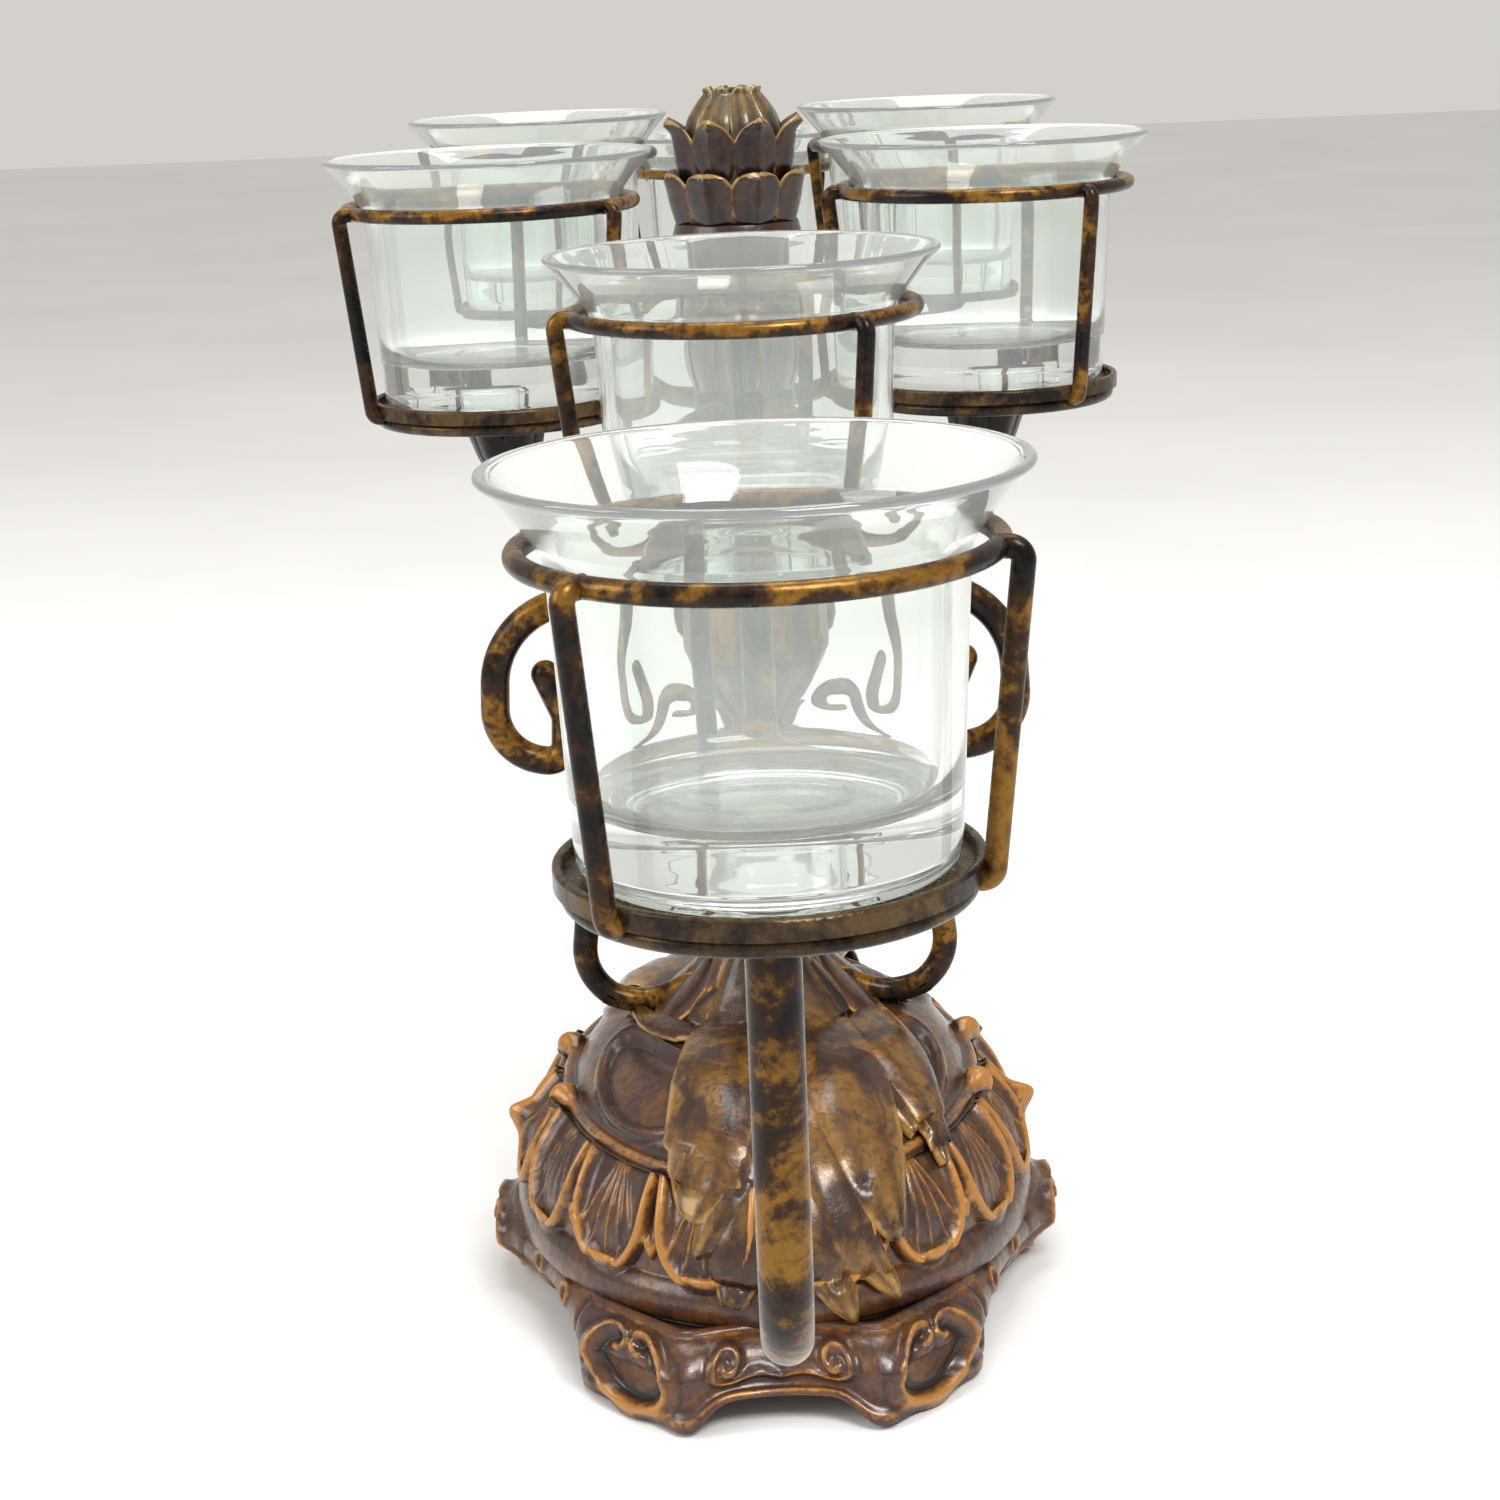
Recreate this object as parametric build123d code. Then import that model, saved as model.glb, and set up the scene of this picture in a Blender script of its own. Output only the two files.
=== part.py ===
from build123d import *

# Votive candle rack: an oval cast base carries a column with a bud finial.
# Bronzed rods spread from the column's collar to eight wire holders, and each
# holder has a lift-out glass cup.  Millimetres, +Z up, origin at the middle of
# the base on the table, long row of cups along Y.

import math
import os

# ---- glass cups -------------------------------------------------------------
CUP_RIM_D = 76.0
CUP_HEIGHT = 57.0
CUP_BODY_R_TOP = 29.3
CUP_BODY_R_BOTTOM = 27.0
CUP_WELL_R = 25.5
CUP_FLOOR = 10.0
CUP_FLARE_HEIGHT = 11.5
CUP_WELL_FILLET = 4.0
CUP_KICK_R = 21.0
CUP_KICK_DEPTH = 1.8
CUP_SEAT_GAP = 0.1
CUP_LIP_R = 1.1

# ---- wire holders -----------------------------------------------------------
RING_WIRE_D = 3.2
RING_R = 33.0
RING_BELOW_RIM = 11.7
POST_WIRE_D = 3.4
POST_TOP_R = 36.5
POST_BOTTOM_R = 31.6
POST_BEND_R = 1.9
POST_STUB_TOP_R = 32.4
POST_STUB_BOTTOM_R = 29.6
POST_FOOT_RISE = 1.6
POST_SPACING = 120.0
PAN_R = 30.35
PAN_WALL = 1.45
PAN_FLOOR = 1.4
PAN_HEIGHT = 3.2
PAN_WIRE_D = 2.8
PAN_WIRE_R = 28.0
SCREW_D = 3.5
SCREW_HEAD_D = 8.0
SCREW_HEAD_H = 1.2
SCREW_LENGTH = 9.0
SCREW_CLEARANCE = 0.1

# ---- rows of cups: name, x, y, rim height, angle of the first post ----------
ROW_SPREAD = 57.0
ROW_INNER_Y = 94.0
ROW_MID_Y = 215.0
ROW_OUTER_Y = 383.0
RIM_INNER = 321.0
RIM_MID = 308.0
RIM_OUTER = 295.0
HOLDERS = [
    ("front_outer", 0, -ROW_OUTER_Y, RIM_OUTER, -134),
    ("front_mid", 0, -ROW_MID_Y, RIM_MID, -172.5),
    ("near_left", -ROW_SPREAD, -ROW_INNER_Y, RIM_INNER, -156),
    ("near_right", ROW_SPREAD, -ROW_INNER_Y, RIM_INNER, -174),
    ("far_left", -ROW_SPREAD, ROW_INNER_Y, RIM_INNER, 174),
    ("far_right", ROW_SPREAD, ROW_INNER_Y, RIM_INNER, 156),
    ("rear_mid", 0, ROW_MID_Y, RIM_MID, 172.5),
    ("rear_outer", 0, ROW_OUTER_Y, RIM_OUTER, 134),
]

# ---- rods -------------------------------------------------------------------
ARM_D = 8.2
SCROLL_D = 8.0
CURL_D = 7.0
WELD_DEPTH = 1.5
ARM_ROOT_Z = 191.0
ARM_CREST = (74.0, 202.0)
ARM_HEEL_Z = 151.0
ARM_CREST_BEND = 60.0
ARM_HEEL_BEND = 25.0
INNER_ROOT_Z = 246.5
INNER_DIP = (66.0, 242.5)
INNER_HEEL_Z = 244.5
INNER_DIP_BEND = 150.0
INNER_HEEL_BEND = 9.0
LEAF_HEIGHT = 16.0
LEAF_R = 9.0
LEAF_CLEARANCE = 0.05

# ---- column -----------------------------------------------------------------
TIE_ROD_D = 6.0
BORE_R = 3.2
DOME_TOP_Z = 76.0
FOOT_TOP_Z = 118.0
COLLAR_Z = 182.0
COLLAR_TOP_Z = 203.0
COLLAR_R = 30.0
INNER_COLLAR_Z = 238.0
INNER_COLLAR_TOP_Z = 252.0
INNER_COLLAR_R = 19.0
URN_TOP_Z = 296.0
FINIAL_TOP_Z = 331.0
VASE_FLUTES = 12
VASE_FLUTE_R = 2.4
URN_FLUTES = 10
URN_FLUTE_R = 2.2

# ---- base -------------------------------------------------------------------
PAD_D = 12.0
PAD_THICKNESS = 1.5
PAD_PROUD = 0.5
FOOT_HEIGHT = 5.0
APRON_WIDE_Z = 14.0
APRON_TOP_Z = 22.0
DOME_LEVELS = [(22.0, 73.0, 97.0), (30.0, 72.0, 96.0), (57.0, 56.0, 80.0), (66.0, 46.0, 66.0), (76.0, 26.0, 33.0)]
NUT_WELL_R = 13.0
NUT_WELL_TOP = 20.0
NUT_FLANGE_D = 18.0
NUT_FLANGE_T = 1.6
NUT_T = 5.2
NUT_ACROSS_FLATS = 10.0

os.makedirs("parts", exist_ok=True)


def save(name, solids):
    """Writes one named piece, or a group of like pieces as separate solids."""
    solids = list(solids) if isinstance(solids, (list, tuple)) else [solids]
    shape = solids[0] if len(solids) == 1 else Compound(children=solids)
    export_step(shape, os.path.join("parts", name + ".step"))


def turned(edges):
    """A solid of revolution about Z from edges drawn as (radius, height)."""
    return revolve(Plane.XZ * make_face(edges), axis=Axis.Z)


def closed(points):
    """Straight edges through the points and back to the first one."""
    return Polyline(*points, close=True).edges()


def drilled(body, z_low, z_high, radius):
    """The body with an upright hole on the Z axis from z_low to z_high."""
    height = z_high - z_low
    return body - Pos(0, 0, z_low + height / 2) * Cylinder(radius, height)


def rod(points, bends, diameter, round_end=False):
    """A bent round rod along straight runs and tangent arcs, points as (radius, height)."""
    corners = [(r, 0, z) for r, z in points]
    path = FilletPolyline(*corners, radius=bends)
    section = Plane(origin=path @ 0, z_dir=path % 0) * Circle(diameter / 2)
    body = sweep(section, path=path)
    if round_end:
        body += Pos(*corners[-1]) * Sphere(diameter / 2)
    return body


def aimed(body, azimuth):
    return Rot(0, 0, azimuth) * body


# ---- wire holder and cup, each about its own axis with the rim at z = 0 -----
PAN_TOP = -CUP_HEIGHT
PAN_FLOOR_BOTTOM = PAN_TOP - PAN_FLOOR
PAN_WIRE_Z = PAN_FLOOR_BOTTOM - PAN_WIRE_D / 2
STUB_TOP_Z = -RING_BELOW_RIM
STUB_BOTTOM_Z = PAN_WIRE_Z + POST_FOOT_RISE


def holder_ring():
    return Pos(0, 0, -RING_BELOW_RIM) * Torus(RING_R, RING_WIRE_D / 2)


def holder_post(azimuth):
    """An upright wire whose short bent ends are welded to the ring and to the pan's edge."""
    corners = [
        (POST_STUB_TOP_R, STUB_TOP_Z),
        (POST_TOP_R, STUB_TOP_Z),
        (POST_BOTTOM_R, STUB_BOTTOM_Z),
        (POST_STUB_BOTTOM_R, STUB_BOTTOM_Z),
    ]
    return aimed(rod(corners, [POST_BEND_R, POST_BEND_R], POST_WIRE_D), azimuth)


def holder_pan():
    """A shallow stamped pan, and the wire ring that it is soldered to."""
    inner_r = PAN_R - PAN_WALL
    dish = Pos(0, 0, PAN_FLOOR_BOTTOM + PAN_HEIGHT / 2) * Cylinder(PAN_R, PAN_HEIGHT)
    dish -= Pos(0, 0, PAN_TOP + PAN_HEIGHT / 2) * Cylinder(inner_r, PAN_HEIGHT)
    dish = fillet(dish.edges().group_by(Axis.Z)[-1], PAN_WALL * 0.4)
    dish = drilled(dish, PAN_FLOOR_BOTTOM - 1, PAN_TOP + 1, SCREW_D / 2 + SCREW_CLEARANCE)
    wire = Pos(0, 0, PAN_WIRE_Z) * Torus(PAN_WIRE_R, PAN_WIRE_D / 2)
    return [dish, wire]


def pan_screw():
    head = Pos(0, 0, PAN_TOP + SCREW_HEAD_H / 2) * Cylinder(SCREW_HEAD_D / 2, SCREW_HEAD_H)
    head = fillet(head.edges().group_by(Axis.Z)[-1], SCREW_HEAD_H * 0.5)
    shank_z = PAN_TOP - SCREW_LENGTH / 2
    return head + Pos(0, 0, shank_z) * Cylinder(SCREW_D / 2, SCREW_LENGTH)


def cup_lip(angle):
    """A point on the rounded lip, whose outermost point is at the rim's diameter."""
    a = math.radians(angle)
    middle = CUP_RIM_D / 2 - CUP_LIP_R
    return (middle + CUP_LIP_R * math.cos(a), CUP_LIP_R * (math.sin(a) - 1))


def glass_cup():
    """A pressed glass votive cup: thick floor, upright well, flared and rounded rim."""
    floor_z = CUP_SEAT_GAP - CUP_HEIGHT
    well_z = floor_z + CUP_FLOOR
    flare_z = -CUP_FLARE_HEIGHT
    foot = CUP_BODY_R_BOTTOM
    corner = 2.5
    edges = [
        Line((0, floor_z + CUP_KICK_DEPTH), (CUP_KICK_R - 2, floor_z + CUP_KICK_DEPTH)),
        Line((CUP_KICK_R - 2, floor_z + CUP_KICK_DEPTH), (CUP_KICK_R, floor_z)),
        Line((CUP_KICK_R, floor_z), (foot - corner, floor_z)),
        ThreePointArc(
            (foot - corner, floor_z),
            (foot - corner * 0.29, floor_z + corner * 0.29),
            (foot, floor_z + corner),
        ),
        Line((foot, floor_z + corner), (CUP_BODY_R_TOP, flare_z)),
        ThreePointArc((CUP_BODY_R_TOP, flare_z), (32.0, -6.0), cup_lip(-35)),
        ThreePointArc(cup_lip(-35), cup_lip(45), cup_lip(125)),
        ThreePointArc(cup_lip(125), (29.4, -5.4), (CUP_WELL_R, flare_z)),
        Line((CUP_WELL_R, flare_z), (CUP_WELL_R, well_z + CUP_WELL_FILLET)),
        ThreePointArc(
            (CUP_WELL_R, well_z + CUP_WELL_FILLET),
            (CUP_WELL_R - CUP_WELL_FILLET * 0.29, well_z + CUP_WELL_FILLET * 0.29),
            (CUP_WELL_R - CUP_WELL_FILLET, well_z),
        ),
        Line((CUP_WELL_R - CUP_WELL_FILLET, well_z), (0, well_z)),
        Line((0, well_z), (0, floor_z + CUP_KICK_DEPTH)),
    ]
    return turned(edges)


def make_holders():
    screws = []
    for name, x, y, rim_z, first_post in HOLDERS:
        place = Pos(x, y, rim_z)
        posts = [place * holder_post(first_post + POST_SPACING * i) for i in range(3)]
        save(name + "_ring", place * holder_ring())
        save(name + "_posts", posts)
        save(name + "_pan", [place * piece for piece in holder_pan()])
        save(name + "_cup", place * glass_cup())
        screws.append(place * pan_screw())
    save("pan_screws", screws)


# ---- rods -------------------------------------------------------------------
WELD_R = COLLAR_R - WELD_DEPTH
INNER_WELD_R = INNER_COLLAR_R - WELD_DEPTH
INNER_RADIUS = math.hypot(ROW_SPREAD, ROW_INNER_Y)


def pan_underside(rim_z):
    return rim_z + PAN_FLOOR_BOTTOM


def tapped(body, radius, top_z):
    """The rod's upright end with the hole for its pan screw."""
    depth = SCREW_LENGTH + 1
    hole = Cylinder(SCREW_D / 2 + SCREW_CLEARANCE, depth)
    return body - Pos(radius, 0, top_z - depth / 2) * hole


def long_arm():
    """From the collar over a low crest, down to the heel and up to the outer pan."""
    top = pan_underside(RIM_OUTER)
    corners = [(WELD_R, ARM_ROOT_Z), ARM_CREST, (ROW_OUTER_Y, ARM_HEEL_Z), (ROW_OUTER_Y, top)]
    body = rod(corners, [ARM_CREST_BEND, ARM_HEEL_BEND], ARM_D)
    return tapped(body, ROW_OUTER_Y, top)


def mid_stem():
    """Upright rod from the long arm to the middle pan."""
    top = pan_underside(RIM_MID)
    crest_r, crest_z = ARM_CREST
    slope = (ARM_HEEL_Z - crest_z) / (ROW_OUTER_Y - crest_r)
    arm_z = crest_z + slope * (ROW_MID_Y - crest_r)
    bottom = arm_z + ARM_D / 2 - WELD_DEPTH
    body = Pos(ROW_MID_Y, 0, (bottom + top) / 2) * Cylinder(ARM_D / 2, top - bottom)
    return tapped(body, ROW_MID_Y, top)


def inner_path(diameter):
    """From the inner collar out along a shallow dip, then up to an inner pan."""
    top = pan_underside(RIM_INNER)
    corners = [
        (INNER_WELD_R, INNER_ROOT_Z),
        INNER_DIP,
        (INNER_RADIUS, INNER_HEEL_Z),
        (INNER_RADIUS, top),
    ]
    return rod(corners, [INNER_DIP_BEND, INNER_HEEL_BEND], diameter)


def inner_arm():
    return tapped(inner_path(ARM_D), INNER_RADIUS, pan_underside(RIM_INNER))


def leaf_socket():
    """Cast calyx of leaves round the elbow of an inner arm."""
    top = pan_underside(RIM_INNER)
    low = top - LEAF_HEIGHT
    edges = [
        Line((0, low), (4.2, low)),
        ThreePointArc((4.2, low), (7.2, low + 6), (LEAF_R, top - 3)),
        ThreePointArc((LEAF_R, top - 3), (LEAF_R - 0.3, top - 0.8), (LEAF_R - 1.5, top)),
        Line((LEAF_R - 1.5, top), (0, top)),
        Line((0, top), (0, low)),
    ]
    calyx = turned(edges)
    for i in range(6):
        calyx -= Rot(0, 0, 60 * i + 30) * Pos(LEAF_R + 0.6, 0, top - 5) * Cylinder(1.6, 11)
    return Pos(INNER_RADIUS, 0, 0) * calyx - inner_path(ARM_D + 2 * LEAF_CLEARANCE)


def upper_scroll():
    """C scroll high on the column's side, hooking back up inside itself."""
    corners = [
        (WELD_R, 188.5),
        (45, 196),
        (70.5, 192.5),
        (72.5, 153),
        (53.3, 149.5),
        (52.5, 163),
        (57.5, 175),
    ]
    return rod(corners, [12, 24, 14.5, 5, 8], SCROLL_D, round_end=True)


def lower_scroll():
    """Scroll from the column's foot, out and up to a small closed curl."""
    corners = [
        (20, 84),
        (36, 76.5),
        (52, 86),
        (42, 167),
        (24.5, 166),
        (25.5, 151),
        (34.5, 152.5),
    ]
    return rod(corners, [20, 16, 7.5, 7, 6], CURL_D, round_end=True)


def make_rods():
    for end, azimuth in (("front", -90), ("rear", 90)):
        save("arm_" + end, aimed(long_arm(), azimuth))
        save("mid_stem_" + end, aimed(mid_stem(), azimuth))
    inner_azimuth = math.degrees(math.atan2(ROW_INNER_Y, ROW_SPREAD))
    for corner, azimuth in (
        ("near_left", inner_azimuth - 180),
        ("near_right", -inner_azimuth),
        ("far_left", 180 - inner_azimuth),
        ("far_right", inner_azimuth),
    ):
        save("arm_" + corner, aimed(inner_arm(), azimuth))
        save("leaf_" + corner, aimed(leaf_socket(), azimuth))
    for side, azimuth in (("left", 180), ("right", 0)):
        save("scroll_upper_" + side, aimed(upper_scroll(), azimuth))
        save("scroll_lower_" + side, aimed(lower_scroll(), azimuth))


# ---- column -----------------------------------------------------------------
def column_foot():
    """Flared foot that sits on the dome."""
    edges = [
        Line((0, DOME_TOP_Z), (26, DOME_TOP_Z)),
        ThreePointArc((26, DOME_TOP_Z), (27.5, DOME_TOP_Z + 3), (25, DOME_TOP_Z + 6)),
        ThreePointArc((25, DOME_TOP_Z + 6), (16, DOME_TOP_Z + 18), (12, DOME_TOP_Z + 34)),
        ThreePointArc((12, DOME_TOP_Z + 34), (14.5, DOME_TOP_Z + 37), (12.5, FOOT_TOP_Z)),
        Line((12.5, FOOT_TOP_Z), (0, FOOT_TOP_Z)),
        Line((0, FOOT_TOP_Z), (0, DOME_TOP_Z)),
    ]
    return drilled(turned(edges), DOME_TOP_Z - 1, FOOT_TOP_Z + 1, BORE_R)


def column_vase():
    """Fluted vase that widens from the waist to the collar."""
    edges = [
        Line((0, FOOT_TOP_Z), (12, FOOT_TOP_Z)),
        ThreePointArc((12, FOOT_TOP_Z), (12.4, FOOT_TOP_Z + 20), (15.5, FOOT_TOP_Z + 38)),
        ThreePointArc((15.5, FOOT_TOP_Z + 38), (20, FOOT_TOP_Z + 50), (28, COLLAR_Z)),
        Line((28, COLLAR_Z), (0, COLLAR_Z)),
        Line((0, COLLAR_Z), (0, FOOT_TOP_Z)),
    ]
    body = drilled(turned(edges), FOOT_TOP_Z - 1, COLLAR_Z + 1, BORE_R)
    lean = math.degrees(math.atan2(12.5, 26))
    for i in range(VASE_FLUTES):
        flute = Pos(23, 0, FOOT_TOP_Z + 50) * Rot(0, lean, 0) * Cylinder(VASE_FLUTE_R, 36)
        body -= aimed(flute, 360 / VASE_FLUTES * (i + 0.5))
    return body


def arm_collar():
    """Turned metal collar that the long arms and upper scrolls are welded to."""
    height = COLLAR_TOP_Z - COLLAR_Z
    body = Pos(0, 0, COLLAR_Z + height / 2) * Cylinder(COLLAR_R, height)
    body = fillet(body.edges().filter_by(GeomType.CIRCLE), 2.5)
    return drilled(body, COLLAR_Z - 1, COLLAR_TOP_Z + 1, BORE_R)


def column_neck():
    """Waisted neck between the two collars."""
    z = COLLAR_TOP_Z
    edges = [
        Line((0, z), (26, z)),
        ThreePointArc((26, z), (24.5, z + 4), (20, z + 7)),
        ThreePointArc((20, z + 7), (14.5, z + 14), (12.5, z + 25)),
        ThreePointArc((12.5, z + 25), (13.6, z + 31), (16, INNER_COLLAR_Z)),
        Line((16, INNER_COLLAR_Z), (0, INNER_COLLAR_Z)),
        Line((0, INNER_COLLAR_Z), (0, z)),
    ]
    return drilled(turned(edges), z - 1, INNER_COLLAR_Z + 1, BORE_R)


def inner_collar():
    """Smaller metal collar that carries the four inner arms."""
    height = INNER_COLLAR_TOP_Z - INNER_COLLAR_Z
    body = Pos(0, 0, INNER_COLLAR_Z + height / 2) * Cylinder(INNER_COLLAR_R, height)
    body = fillet(body.edges().filter_by(GeomType.CIRCLE), 2)
    return drilled(body, INNER_COLLAR_Z - 1, INNER_COLLAR_TOP_Z + 1, BORE_R)


def column_urn():
    """Fluted urn below the finial."""
    z = INNER_COLLAR_TOP_Z
    edges = [
        Line((0, z), (17.5, z)),
        ThreePointArc((17.5, z), (20.6, z + 7), (22, z + 14)),
        ThreePointArc((22, z + 14), (21.5, z + 17.5), (18.5, z + 20)),
        ThreePointArc((18.5, z + 20), (15.2, z + 26), (14.5, z + 34)),
        ThreePointArc((14.5, z + 34), (17, URN_TOP_Z - 5), (16.5, URN_TOP_Z)),
        Line((16.5, URN_TOP_Z), (0, URN_TOP_Z)),
        Line((0, URN_TOP_Z), (0, z)),
    ]
    body = drilled(turned(edges), z - 1, URN_TOP_Z + 1, BORE_R)
    for i in range(URN_FLUTES):
        flute = Pos(22, 0, z + 5) * Rot(0, 14, 0) * Cylinder(URN_FLUTE_R, 20)
        body -= aimed(flute, 360 / URN_FLUTES * i)
    return body


def finial():
    """Lotus bud: a low cup of petals, a flared tier of petals, and the bud."""
    base, top = URN_TOP_Z, FINIAL_TOP_Z
    edges = [
        Line((0, base), (15, base)),
        Line((15, base), (15.6, base + 2)),
        Line((15.6, base + 2), (17.3, base + 12.5)),
        Line((17.3, base + 12.5), (14.2, base + 13.5)),
        Line((14.2, base + 13.5), (17.4, base + 26)),
        Line((17.4, base + 26), (12.0, base + 25.5)),
        ThreePointArc((12.0, base + 25.5), (11.0, base + 31), (7.0, top)),
        Line((7.0, top), (0, top)),
        Line((0, top), (0, base)),
    ]
    body = drilled(turned(edges), base - 1, base + 12, BORE_R)
    for i in range(8):
        upper = Pos(19.3, 0, base + 26) * Cylinder(2.9, 12)
        lower = Pos(18.8, 0, base + 13) * Cylinder(2.4, 9)
        body -= aimed(upper, 45 * i)
        body -= aimed(lower, 45 * i + 22.5)
    return body


def make_column():
    save("column_foot", column_foot())
    save("column_vase", column_vase())
    save("arm_collar", arm_collar())
    save("column_neck", column_neck())
    save("inner_collar", inner_collar())
    save("column_urn", column_urn())
    save("finial", finial())


# ---- base -------------------------------------------------------------------
FEET = [(x * 61, 0) for x in (-1, 1)] + [(x * 36, y * 90) for x in (-1, 1) for y in (-1, 1)]


def outline(side_x, waist_x, foot_x, foot_y, toe_x, toe_y, bay_y, z):
    """Lobed plan of the base: side lobes, hollow waists, and a pair of feet each end."""
    lobe_x = side_x - 7
    lobe_y = 21
    quarter = [
        (ThreePointArc, (lobe_x, -lobe_y), (side_x, 0), (lobe_x, lobe_y)),
        (ThreePointArc, (lobe_x, lobe_y), (waist_x, (lobe_y + foot_y) / 2), (foot_x, foot_y)),
        (Line, (foot_x, foot_y), (toe_x, toe_y)),
        (ThreePointArc, (toe_x, toe_y), (0, bay_y), (-toe_x, toe_y)),
        (Line, (-toe_x, toe_y), (-foot_x, foot_y)),
        (ThreePointArc, (-foot_x, foot_y), (-waist_x, (lobe_y + foot_y) / 2), (-lobe_x, lobe_y)),
        (ThreePointArc, (-lobe_x, lobe_y), (-side_x, 0), (-lobe_x, -lobe_y)),
        (ThreePointArc, (-lobe_x, -lobe_y), (-waist_x, -(lobe_y + foot_y) / 2), (-foot_x, -foot_y)),
        (Line, (-foot_x, -foot_y), (-toe_x, -toe_y)),
        (ThreePointArc, (-toe_x, -toe_y), (0, -bay_y), (toe_x, -toe_y)),
        (Line, (toe_x, -toe_y), (foot_x, -foot_y)),
        (ThreePointArc, (foot_x, -foot_y), (waist_x, -(lobe_y + foot_y) / 2), (lobe_x, -lobe_y)),
    ]
    edges = [kind(*points) for kind, *points in quarter]
    return Pos(0, 0, z) * make_face(edges)


def apron():
    """Flared skirt of the base, cut away below except at the six feet."""
    bottom = outline(71, 56, 53, 81, 25, 111, 104, PAD_PROUD)
    middle = outline(81, 60, 54, 81, 26, 108, 100, APRON_WIDE_Z)
    top = outline(76, 59, 48, 74, 25, 97, 92, APRON_TOP_Z)
    skirt = loft([bottom, middle], ruled=True) + loft([middle, top], ruled=True)
    relief_height = PAD_PROUD + FOOT_HEIGHT
    relief = Pos(0, 0, relief_height / 2) * Box(300, 300, relief_height)
    for x, y in FEET:
        size = (34, 40) if y == 0 else (34, 46)
        shift = 0 if y == 0 else math.copysign(4, y)
        relief -= Pos(x + math.copysign(2, x), y + shift, relief_height / 2) * Box(*size, relief_height + 1)
    return skirt - relief


def dome():
    """Oval dome in straight-sided steps from the apron up to the column's foot."""
    faces = [Pos(0, 0, z) * Ellipse(a, b) for z, a, b in DOME_LEVELS]
    return loft(faces, ruled=True)


def make_base():
    body = apron() + dome()
    body = drilled(body, 0, NUT_WELL_TOP, NUT_WELL_R)
    body = drilled(body, 0, DOME_TOP_Z + 1, BORE_R)
    recess_top = PAD_THICKNESS
    pads = []
    for x, y in FEET:
        body -= Pos(x, y, recess_top / 2) * Cylinder(PAD_D / 2 + 0.2, recess_top)
        pads.append(Pos(x, y, PAD_THICKNESS / 2) * Cylinder(PAD_D / 2, PAD_THICKNESS))
    save("base_casting", body)
    save("felt_pads", pads)


def make_hardware():
    """Threaded rod that clamps base, column and finial, with its flanged nut."""
    flange_z = NUT_WELL_TOP - NUT_FLANGE_T
    nut_z = flange_z - NUT_T
    rod_low = nut_z - 3
    rod_high = URN_TOP_Z + 11
    length = rod_high - rod_low
    save("tie_rod", Pos(0, 0, rod_low + length / 2) * Cylinder(TIE_ROD_D / 2, length))
    hexagon = RegularPolygon(NUT_ACROSS_FLATS / 2, 6, major_radius=False)
    nut = Pos(0, 0, nut_z) * extrude(hexagon, NUT_T)
    nut += Pos(0, 0, flange_z + NUT_FLANGE_T / 2) * Cylinder(NUT_FLANGE_D / 2, NUT_FLANGE_T)
    save("base_nut", drilled(nut, nut_z - 1, NUT_WELL_TOP + 1, TIE_ROD_D / 2 + 0.05))


make_base()
make_hardware()
make_column()
make_rods()
make_holders()
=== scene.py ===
import math

import bpy
import numpy as np
from mathutils import Matrix, Vector


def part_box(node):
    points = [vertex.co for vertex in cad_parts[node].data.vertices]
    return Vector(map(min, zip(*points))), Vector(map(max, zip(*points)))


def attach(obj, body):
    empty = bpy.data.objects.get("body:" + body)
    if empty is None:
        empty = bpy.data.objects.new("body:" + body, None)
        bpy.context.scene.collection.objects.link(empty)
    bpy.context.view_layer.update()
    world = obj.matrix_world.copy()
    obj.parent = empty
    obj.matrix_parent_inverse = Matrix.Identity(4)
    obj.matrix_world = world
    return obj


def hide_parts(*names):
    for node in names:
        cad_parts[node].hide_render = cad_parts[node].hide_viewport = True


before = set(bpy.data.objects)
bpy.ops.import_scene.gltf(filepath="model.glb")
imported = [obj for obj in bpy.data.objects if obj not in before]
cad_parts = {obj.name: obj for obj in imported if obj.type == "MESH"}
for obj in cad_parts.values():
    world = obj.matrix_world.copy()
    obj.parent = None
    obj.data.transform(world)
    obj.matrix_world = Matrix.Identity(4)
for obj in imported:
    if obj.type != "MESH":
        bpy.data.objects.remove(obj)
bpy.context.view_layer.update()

# Looks of the votive candle rack.  Shapes are worked out in millimetres from the
# frame's boxes and turned into metres when a mesh is made.
MM = 0.001
TAU = 2 * math.pi
RACK = "rack"
INNER = ["near_left", "near_right", "far_left", "far_right"]
HOLDERS = ["front_outer", "front_mid", *INNER, "rear_mid", "rear_outer"]


def box_mm(node):
    low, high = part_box(node)
    return np.array(low) / MM, np.array(high) / MM


def heights_of(node):
    low, high = box_mm(node)
    return low[2], high[2]


def link(obj):
    bpy.context.scene.collection.objects.link(obj)
    return obj


# ---- small maths ------------------------------------------------------------
def smooth(edge0, edge1, x):
    t = np.clip((x - edge0) / (edge1 - edge0), 0, 1)
    return t * t * (3 - 2 * t)


def bell(x, width):
    return np.exp(-((x / width) ** 2))


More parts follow.
